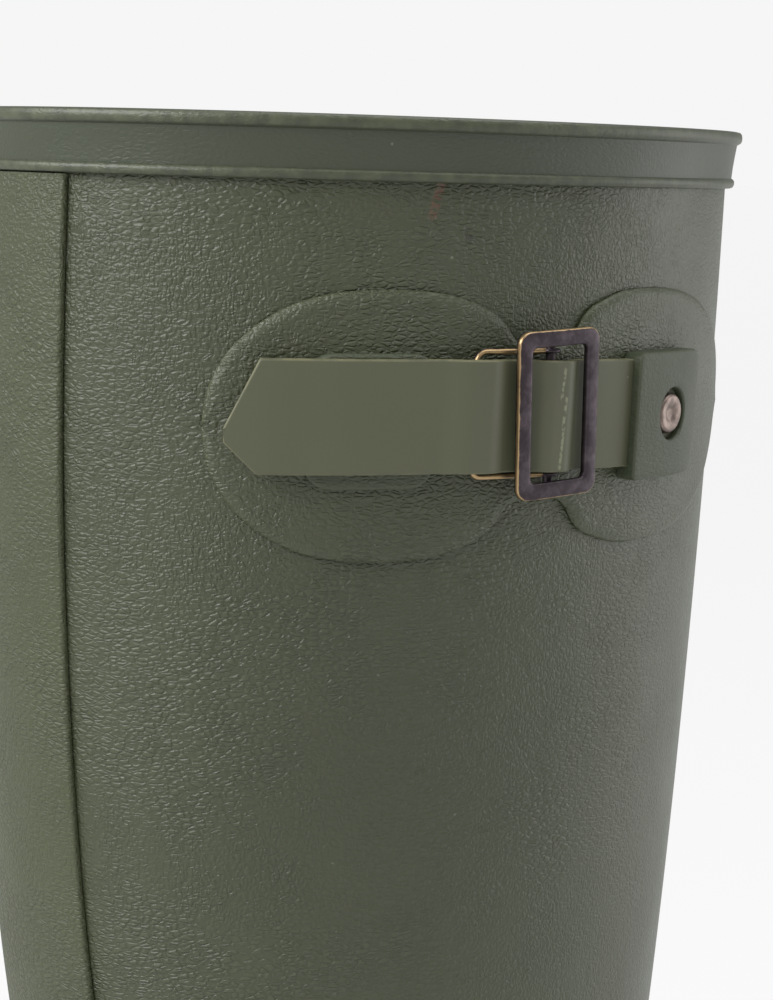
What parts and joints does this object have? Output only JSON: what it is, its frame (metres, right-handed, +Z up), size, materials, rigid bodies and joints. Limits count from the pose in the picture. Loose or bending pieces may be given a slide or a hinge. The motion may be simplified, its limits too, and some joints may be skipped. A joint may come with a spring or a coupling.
{
  "type": "rubber boot",
  "caption": "Tall rubber wellington boot with a moulded collar band, a side strap and buckle over a shaped patch, and a cleated sole with a separate heel.",
  "frame": {"origin": "on the floor under the middle of the heel, on the heel's tread", "axes": "+Z up the shaft, -Y towards the toe, -X towards the boot's outer side, where the buckle is"},
  "size_m": [0.1239, 0.3196, 0.385],
  "materials": {
    "sole_rubber": "matte",
    "insole_felt": "felt",
    "upper_rubber": "satin, leather-like grain",
    "band_rubber": "satin",
    "strip_rubber": "matte, fine grain",
    "strap_rubber": "matte, smooth",
    "aged_metal": "dark antique plating worn to brass",
    "pale_metal": "dull"
  },
  "bodies": {
    "root": {"outsole": "sole_rubber", "insole": "insole_felt", "upper": "upper_rubber", "collar_band": "band_rubber", "back_strip": "strip_rubber", "strap_patch": "upper_rubber", "rear_tab": "upper_rubber", "front_tab": "upper_rubber", "strap": "strap_rubber", "buckle_frame": "aged_metal", "buckle_loop": "aged_metal", "front_rivet": "pale_metal"}
  },
  "joints": []
}
